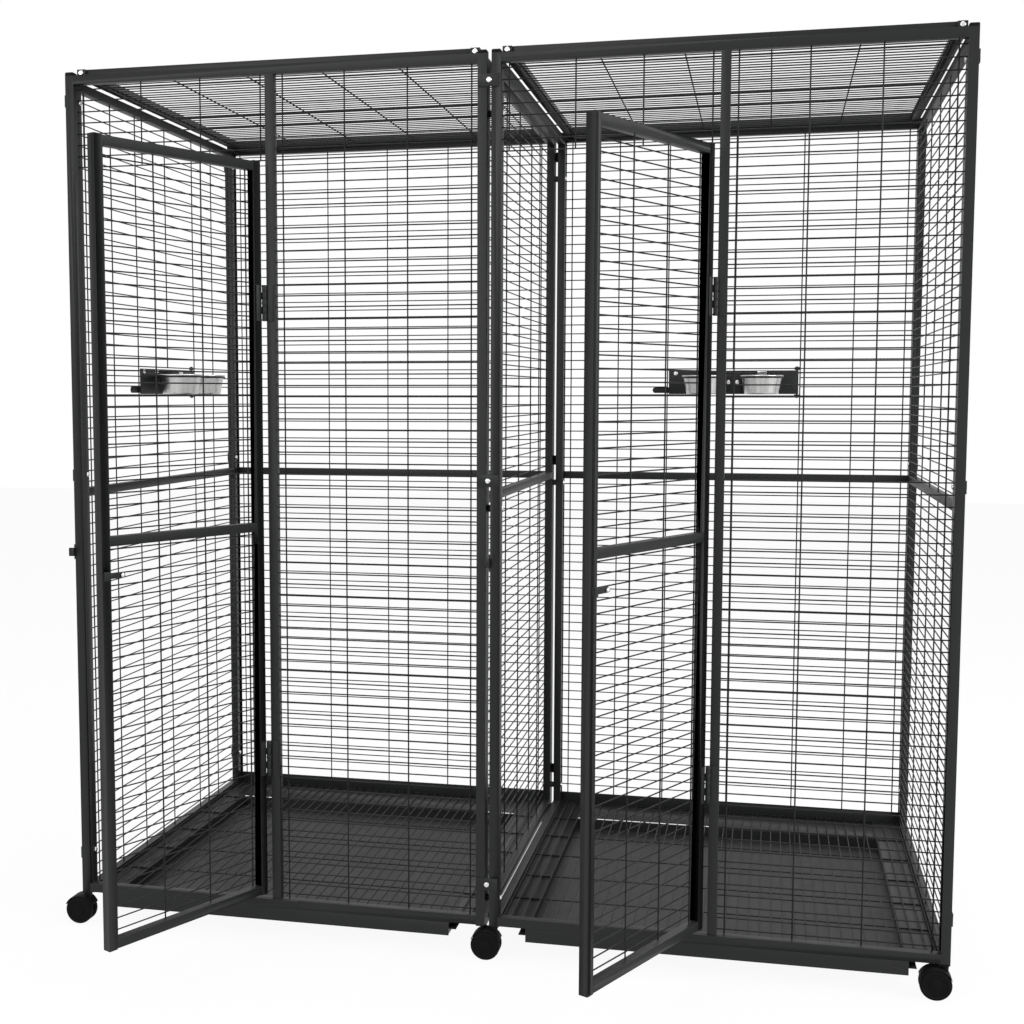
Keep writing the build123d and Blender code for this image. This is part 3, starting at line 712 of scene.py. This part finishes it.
@dataclass(frozen=True)
class Feeder:
    """Bowls, bright bolts and clips of a feeder, with X along the wall and Y outward."""

    shop: Workshop
    offset: float = 78 * MM
    stand_off: float = 65 * MM
    top: float = 1240 * MM
    tall: float = 52 * MM
    base: float = 46 * MM
    wall: float = 54 * MM
    rim: float = 58 * MM
    sheet: float = 0.8 * MM
    clip: tuple[float, float, float] = (24.4 * MM, 2.2 * MM, 9.2 * MM)

    def seat(self, bay: Bay) -> Matrix:
        """Place of the feeder's own frame: the left bay's on its side wall, the right's on its back."""
        if bay.name == "left":
            return Matrix.Translation(bay.place(bay.tube, bay.tube + bay.middle, 0)) @ Matrix.Rotation(
                math.pi / 2, 4, "Z"
            )
        return Matrix.Translation(bay.place(bay.middle, bay.depth - bay.tube, 0))

    def bowl_outline(self) -> list[Span]:
        """Outline of a bowl from axis to axis: base, wall, rolled rim and inside."""
        foot = self.top - self.tall
        bend = 5 * MM
        curl = 2 * MM
        outer = [(0.0, foot + 0.6 * MM), (self.base * 0.7, foot + 0.6 * MM), (self.base * 0.76, foot)]
        outer += [
            (self.base - bend + bend * math.sin(a), foot + bend * (1 - math.cos(a)))
            for a in (math.pi / 2 * i / 5 for i in range(6))
        ]
        outer += [(self.wall, self.top - 2 * curl - 0.2 * MM)]
        middle = (self.rim - curl, self.top - curl)
        roll = [
            (middle[0] + curl * math.cos(a), middle[1] + curl * math.sin(a))
            for a in (-math.pi / 2 + math.pi * i / 10 for i in range(11))
        ]
        lip = [(self.wall + 0.8 * MM, self.top - 0.1 * MM), (self.wall - self.sheet, self.top - 1.2 * MM)]
        inner_base = self.base - self.sheet
        floor = foot + self.sheet
        inside = [
            (inner_base - bend + bend * math.sin(a), floor + bend * (1 - math.cos(a)))
            for a in (math.pi / 2 * (5 - i) / 5 for i in range(6))
        ]
        return outer + roll + lip + inside + [(0.0, floor + 0.6 * MM)]

    def build(self, bay: Bay) -> None:
        """Make a bay's bowls, bolts and clips."""
        seat = self.seat(bay)
        for side, x in (("a", -self.offset), ("b", self.offset)):
            shape = bmesh.new()
            turned(shape, self.bowl_outline(), Vector((x, -self.stand_off, 0)), Vector((0, 0, 1)), 72)
            shape.transform(seat)
            node = f"{bay.name}_bowl_{side}"
            self.shop.piece(f"{node}_spun", shape, Slot.STAINLESS, f"{node}_body", (node,))
        shape = bmesh.new()
        radius = 6.2 * MM
        high = 4.2 * MM
        bend = 2.8 * MM
        dome = [(0.0, high)]
        dome += [
            (radius - bend + bend * math.sin(a), high - bend + bend * math.cos(a))
            for a in (math.pi / 2 * i / 6 for i in range(7))
        ]
        dome += [(radius, 0.0), (0.0, 0.0)]
        bracket = -16.5 * MM
        for x, y, z in ((-12 * MM, bracket, 1221.5 * MM), (12 * MM, bracket, 1221.5 * MM),
                        (-157 * MM, 1.5 * MM, 1246 * MM)):
            turned(shape, dome, Vector((x, y, z)), Vector((0, -1, 0)), 24)
        for x in (-self.offset, self.offset):
            wide, thick, tall = self.clip
            foot = Vector((x - wide / 2, 1.5 * MM - thick, 1242.9 * MM))
            slab(shape, foot, foot + Vector((wide, thick, tall)), 0.5 * MM)
        shape.transform(seat)
        self.shop.piece(f"{bay.name}_feeder_bright_parts", shape, Slot.PLATED, f"{bay.name}_feeder")


@dataclass(frozen=True)
class Castor:
    """Twin wheels with a rounded tread, a recessed face and a hub cap."""

    shop: Workshop
    radius: float = 33 * MM
    inner: float = 6 * MM
    width: float = 13 * MM
    trail: float = 18 * MM
    height: float = 33 * MM

    def outline(self) -> list[Span]:
        """Outline of one wheel from axis to axis, with height counted from its inner face."""
        bend = 5 * MM
        shoulder = [
            (self.radius - bend + bend * math.cos(a), self.width - bend + bend * math.sin(a))
            for a in (math.pi / 2 * i / 6 for i in range(7))
        ]
        groove = [(25.5 * MM, self.width), (25 * MM, self.width - 1.6 * MM), (12 * MM, self.width - 2.4 * MM)]
        hub = [(11.4 * MM, self.width - 0.6 * MM), (9.5 * MM, self.width), (0.0, self.width)]
        tread = [(self.radius - 1 * MM, 0.0), (self.radius, 1 * MM)]
        return [(0.0, 0.0), *tread, *shoulder, *groove, *hub]

    def build(self, row: str, place: str, x: float, y: float) -> None:
        """Make one castor's wheels.

        Args:
            row: Front or rear.
            place: Left, middle or right.
            x: The swivel's place across.
            y: The swivel's place back.
        """
        node = f"castor_{row}_{place}_wheels"
        shape = bmesh.new()
        for side in (-1, 1):
            centre = Vector((x - self.trail, y + side * self.inner, self.height))
            turned(shape, self.outline(), centre, Vector((0, side, 0)), 48)
        ends = [Vector((x - self.trail, y + side * self.inner, self.height)) for side in (-1, 1)]
        rod(shape, *ends, 3 * MM, 16)
        self.shop.piece(f"{node}_moulded", shape, Slot.WHEEL, f"{node}_body", (node,))


@dataclass(frozen=True)
class Studio:
    """Floor, backdrop, soft lights and the camera."""

    camera_at: tuple[float, float, float] = (0.5945, -3.5574, 1.2633)
    yaw: float = 0.22697
    pitch: float = 0.085839
    lens: float = 50.12
    shift: Span = (0.0712, 0.0049)
    floor_size: float = 14.0

    def white_on_camera(self, tree: bpy.types.NodeTree) -> bpy.types.NodeSocket:
        """Value that is 1 for camera, glossy and transmission rays."""
        path = tree.nodes.new("ShaderNodeLightPath")
        seen = math_node(tree, "MAXIMUM", path.outputs["Is Camera Ray"], path.outputs["Is Glossy Ray"])
        return math_node(tree, "MAXIMUM", seen, path.outputs["Is Transmission Ray"])

    def world(self) -> None:
        """White where it is seen, softer where it lights."""
        made = bpy.data.worlds.new("studio")
        bpy.context.scene.world = made
        made.use_nodes = True
        tree = made.node_tree
        sky = tree.nodes["Background"]
        sky.inputs["Color"].default_value = (1.0, 1.0, 1.0, 1.0)
        spread = tree.nodes.new("ShaderNodeMapRange")
        spread.inputs["To Min"].default_value = 0.55
        spread.inputs["To Max"].default_value = 1.0
        tree.links.new(self.white_on_camera(tree), spread.inputs["Value"])
        tree.links.new(spread.outputs[0], sky.inputs["Strength"])

    def floor(self) -> None:
        """Pale floor that keeps a soft shadow."""
        shape = bmesh.new()
        bmesh.ops.create_grid(shape, x_segments=4, y_segments=4, size=self.floor_size)
        mesh = bpy.data.meshes.new("floor")
        shape.to_mesh(mesh)
        shape.free()
        made = bpy.data.objects.new("floor", mesh)
        bpy.context.scene.collection.objects.link(made)
        material = bpy.data.materials.new("pale floor")
        material.use_nodes = True
        tree = material.node_tree
        shader = tree.nodes["Principled BSDF"]
        shader.inputs["Base Color"].default_value = (0.9, 0.9, 0.9, 1.0)
        shader.inputs["Roughness"].default_value = 0.8
        shader.inputs["Specular IOR Level"].default_value = 0.0
        glow = tree.nodes.new("ShaderNodeEmission")
        mix = tree.nodes.new("ShaderNodeMixShader")
        tree.links.new(math_node(tree, "MULTIPLY", self.white_on_camera(tree), 0.93), mix.inputs[0])
        tree.links.new(shader.outputs[0], mix.inputs[1])
        tree.links.new(glow.outputs[0], mix.inputs[2])
        tree.links.new(mix.outputs[0], tree.nodes["Material Output"].inputs["Surface"])
        mesh.materials.append(material)

    def lamp(self, name: str, at: Vector, size: float, power: float) -> None:
        """Add a square soft light that looks at the aviary's middle.

        Args:
            name: The light's name.
            at: Its place.
            size: Its side.
            power: Its watts.
        """
        light = bpy.data.lights.new(name, "AREA")
        light.size = size
        light.energy = power
        made = bpy.data.objects.new(name, light)
        bpy.context.scene.collection.objects.link(made)
        made.location = at
        made.rotation_mode = "QUATERNION"
        made.rotation_quaternion = (Vector((0, 0, 1.0)) - at).to_track_quat("-Z", "Y")

    def camera(self) -> None:
        """Camera at the photograph's place."""
        lens = bpy.data.cameras.new("camera")
        lens.lens = self.lens
        lens.sensor_width = 36.0
        lens.shift_x, lens.shift_y = self.shift
        lens.clip_end = 100.0
        made = bpy.data.objects.new("camera", lens)
        bpy.context.scene.collection.objects.link(made)
        made.location = self.camera_at
        made.rotation_euler = (math.pi / 2 - self.pitch, 0.0, self.yaw)
        bpy.context.scene.camera = made

    def build(self) -> None:
        """Set the whole studio."""
        self.world()
        self.floor()
        self.lamp("right soft light", Vector((5.0, -2.0, 2.6)), 3.0, 230.0)
        self.lamp("front soft light", Vector((-2.4, -5.0, 2.8)), 3.0, 130.0)
        self.lamp("top soft light", Vector((0.3, 0.4, 5.2)), 3.5, 120.0)
        self.camera()
        bpy.context.scene.view_settings.view_transform = "Standard"


def dress_nodes(shop: Workshop) -> None:
    """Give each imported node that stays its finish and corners.

    Args:
        shop: The workshop.
    """
    sides = ["left_side_frame", "partition_frame", "open_side_frame", "right_side_frame"]
    for bay in BAYS:
        for part in ("front_frame", "back_frame", "roof_frame", "door_frame"):
            shop.dress(f"{bay}_{part}", Slot.STEEL, 1.6 * MM)
        for part in ("floor_pan", "tray"):
            shop.dress(f"{bay}_{part}", Slot.STEEL, 0.5 * MM)
        for part in ("door_hinge_leaves", "feeder_hatch", "feeder_lever"):
            shop.dress(f"{bay}_{part}", Slot.STEEL, 0.4 * MM)
    for name in sides:
        shop.dress(name, Slot.STEEL, 1.6 * MM)
    for name in ("post_hinge_leaves", "keepers", "feeder_eyes", "clamp_plates"):
        shop.dress(name, Slot.STEEL, 0.5 * MM)
    shop.dress("clamp_bolts", Slot.PLATED, 0.4 * MM)
    shop.dress("post_caps", Slot.PLASTIC, 0.6 * MM)
    for row in ("front", "rear"):
        for place in ("left", "middle", "right"):
            shop.dress(f"castor_{row}_{place}_fork", Slot.PLASTIC, 0.5 * MM)


def main() -> None:
    """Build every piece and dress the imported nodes."""
    logging.basicConfig(level=logging.INFO, format="%(name)s %(message)s")
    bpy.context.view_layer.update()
    Studio().build()
    shop = Workshop()
    dress_nodes(shop)
    wire = Wirework(shop)
    for bay in BAYS.values():
        wire.front(bay)
        wire.door(bay)
        wire.roof(bay)
        wire.grate(bay)
        DoorLatch(shop).build(bay)
        Feeder(shop).build(bay)
    wire.wall(BAYS["left"], Facing.BACK, "left_back_net", with_feeder=False)
    wire.wall(BAYS["right"], Facing.BACK, "right_back_net", with_feeder=True)
    wire.wall(BAYS["left"], Facing.LEFT, "left_side_net", with_feeder=True)
    wire.wall(BAYS["left"], Facing.RIGHT, "partition_net", with_feeder=False)
    wire.wall(BAYS["right"], Facing.RIGHT, "right_side_net", with_feeder=False)
    castor = Castor(shop)
    for row, y in (("front", -0.5), ("rear", 0.5)):
        for place, x in (("left", -0.975), ("middle", 0.015), ("right", 0.975)):
            castor.build(row, place, x, y)


if __name__ == "__main__":
    main()
